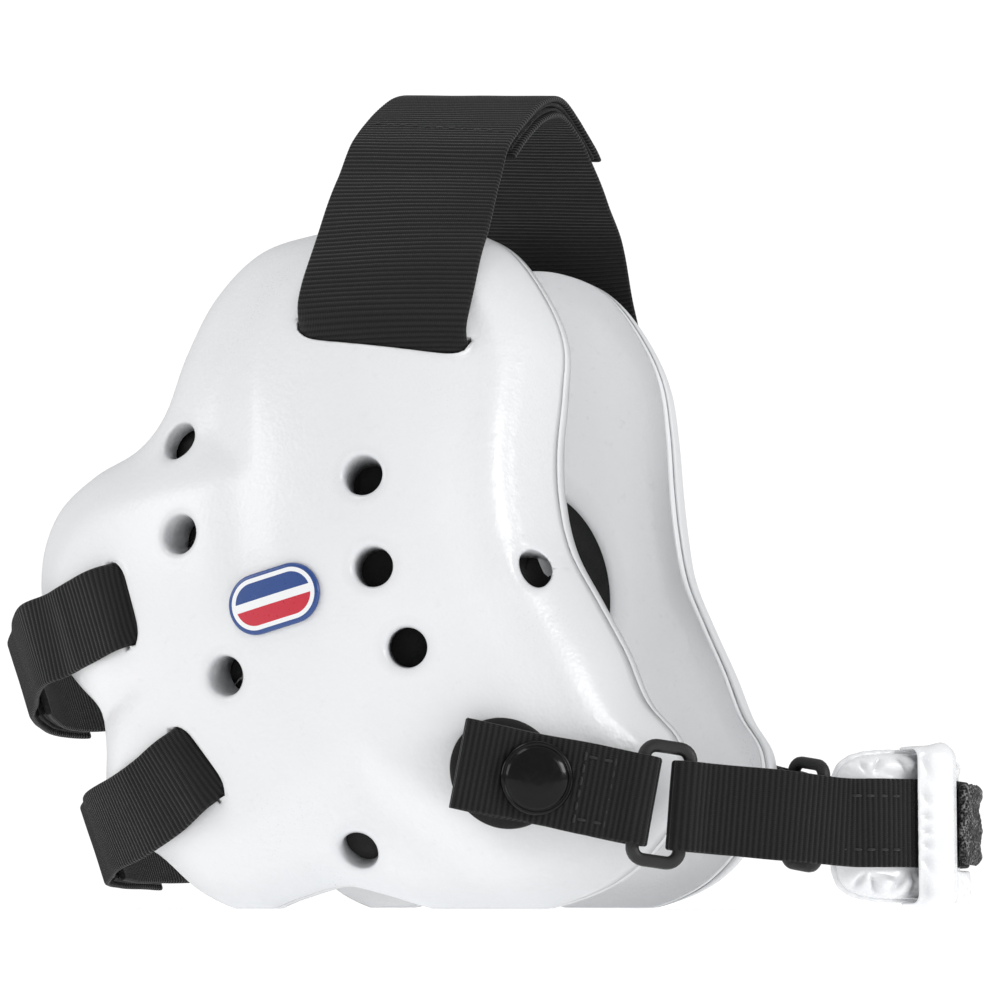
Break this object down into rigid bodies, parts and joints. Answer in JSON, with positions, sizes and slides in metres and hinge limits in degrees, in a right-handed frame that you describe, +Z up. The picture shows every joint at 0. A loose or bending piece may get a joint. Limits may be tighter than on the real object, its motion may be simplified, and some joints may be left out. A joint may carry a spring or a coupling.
{
  "type": "wrestling headgear",
  "caption": "Wrestling headgear: moulded foam ear guards joined by a crown strap, rear straps and a snapped chin strap with a padded chin cup.",
  "frame": {"origin": "centre of the bounding box in X and Y, on the floor the guards stand on", "axes": "+X the way the wearer faces, +Y the wearer's left, +Z up"},
  "size_m": [0.2268, 0.1592, 0.1874],
  "materials": {
    "foam_skin": "soft satin vinyl skin over foam, fine pebble grain",
    "liner_foam": "dull black foam",
    "webbing": "ribbed grosgrain weave",
    "hook_fastener": "stiff hook tape",
    "loop_fastener": "fuzzy loop tape",
    "snap_cap": "polished black lacquer",
    "snap_metal": "plated",
    "ring_plastic": "satin moulded",
    "vinyl": "glossy stitched vinyl",
    "badge_print": "printed, plain stripes"
  },
  "bodies": {
    "guards": {"crown_strap_right": "webbing", "crown_strap_left": "webbing", "crown_hook_patch": "hook_fastener", "crown_loop_patch": "loop_fastener", "upper_rear_strap_right": "webbing", "upper_rear_strap_left": "webbing", "upper_rear_hook_patch": "hook_fastener", "upper_rear_loop_patch": "loop_fastener", "lower_rear_strap_right": "webbing", "lower_rear_strap_left": "webbing", "lower_rear_hook_patch": "hook_fastener", "lower_rear_loop_patch": "loop_fastener", "left_guard_shell": "foam_skin", "right_guard_shell": "foam_skin", "left_guard_liner": "liner_foam", "right_guard_liner": "liner_foam", "left_guard_pad": "foam_skin", "right_guard_pad": "foam_skin", "left_guard_badge": "badge_print", "right_guard_badge": "badge_print", "left_snap_patch": "liner_foam", "right_snap_patch": "liner_foam", "left_snap_stud": "snap_metal", "right_snap_stud": "snap_metal", "left_stud_washer": "snap_metal", "right_stud_washer": "snap_metal"},
    "crown_flap": {"crown_strap_flap": "webbing", "crown_flap_hook_patch": "hook_fastener"},
    "upper_rear_flap": {"upper_rear_strap_flap": "webbing", "upper_rear_flap_hook_patch": "hook_fastener"},
    "lower_rear_flap": {"lower_rear_strap_flap": "webbing", "lower_rear_flap_hook_patch": "hook_fastener"},
    "chin": {"chin_strap": "webbing", "left_strap_ring": "ring_plastic", "right_strap_ring": "ring_plastic"},
    "left_tab": {"left_chin_tab": "webbing", "left_snap_cap": "snap_cap", "left_snap_socket": "snap_metal"},
    "right_tab": {"right_chin_tab": "webbing", "right_snap_cap": "snap_cap", "right_snap_socket": "snap_metal"},
    "cup": {"chin_cup_pad": "vinyl", "chin_cup_keeper": "vinyl", "chin_cup_loop": "loop_fastener"}
  },
  "joints": [
    {"name": "chin_swivel", "type": "hinge", "parent": "guards", "child": "chin", "pos_m": [0.03279, 0, 0.0272], "axis": [0, -1, 0], "range_deg": [-8, 8]},
    {"name": "left_snap_peel", "type": "hinge", "parent": "chin", "child": "left_tab", "pos_m": [0.05535, 0.05829, 0.02262], "axis": [-0.1205, 0.0696, -0.9903], "range_deg": [0, 45]},
    {"name": "right_snap_peel", "type": "hinge", "parent": "chin", "child": "right_tab", "pos_m": [0.05535, -0.05829, 0.02262], "axis": [0.1205, 0.0696, 0.9903], "range_deg": [0, 45]},
    {"name": "chin_cup_slide", "type": "hinge", "parent": "chin", "child": "cup", "pos_m": [0.07069, 0, 0.0183], "axis": [0, 0, 1], "range_deg": [-5, 10]},
    {"name": "crown_flap_peel", "type": "hinge", "parent": "guards", "child": "crown_flap", "pos_m": [-0.00031, 0.00465, 0.18687], "axis": [1, 0, 0], "range_deg": [0, 60]},
    {"name": "upper_rear_flap_peel", "type": "hinge", "parent": "guards", "child": "upper_rear_flap", "pos_m": [-0.10966, -0.00814, 0.04927], "axis": [-0.3366, 0.0113, 0.9416], "range_deg": [0, 45]},
    {"name": "lower_rear_flap_peel", "type": "hinge", "parent": "guards", "child": "lower_rear_flap", "pos_m": [-0.08988, -0.00801, 0.01318], "axis": [-0.3335, -0.0188, 0.9426], "range_deg": [0, 45]}
  ]
}
